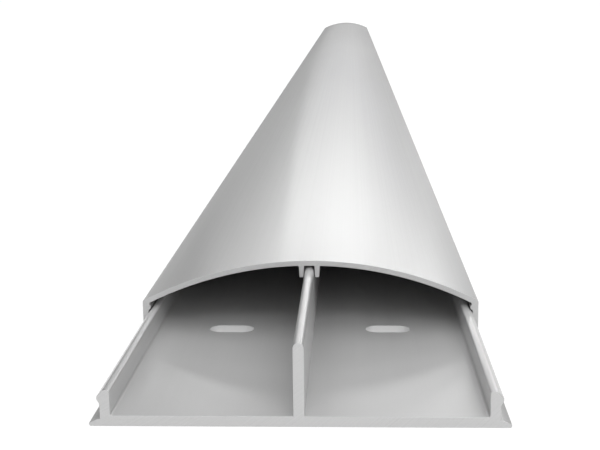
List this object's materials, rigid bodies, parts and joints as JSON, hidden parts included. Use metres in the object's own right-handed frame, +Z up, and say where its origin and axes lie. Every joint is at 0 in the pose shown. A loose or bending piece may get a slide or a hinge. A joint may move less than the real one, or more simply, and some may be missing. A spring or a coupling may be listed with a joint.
{
  "type": "floor cable duct",
  "caption": "Low two-channel floor cable duct: a flat slotted base with side rails and a divider, under an arched clip-fit cover that slides along it.",
  "frame": {"origin": "centre of the base's flat underside, on the floor", "axes": "+Y along the duct, away from its open front end; +X across it, to the right seen from the front; +Z up, out of the underside"},
  "size_m": [0.08, 2.06, 0.0183],
  "materials": {
    "base_aluminium": "satin anodised, natural silver",
    "cover_aluminium": "satin anodised, natural silver"
  },
  "bodies": {
    "base": {"base_profile": "base_aluminium"},
    "cover": {"cover_profile": "cover_aluminium"}
  },
  "joints": [
    {"name": "cover_slide", "type": "slide", "parent": "base", "child": "cover", "axis": [0, 1, 0], "range_m": [-0.06, 1.945]}
  ]
}
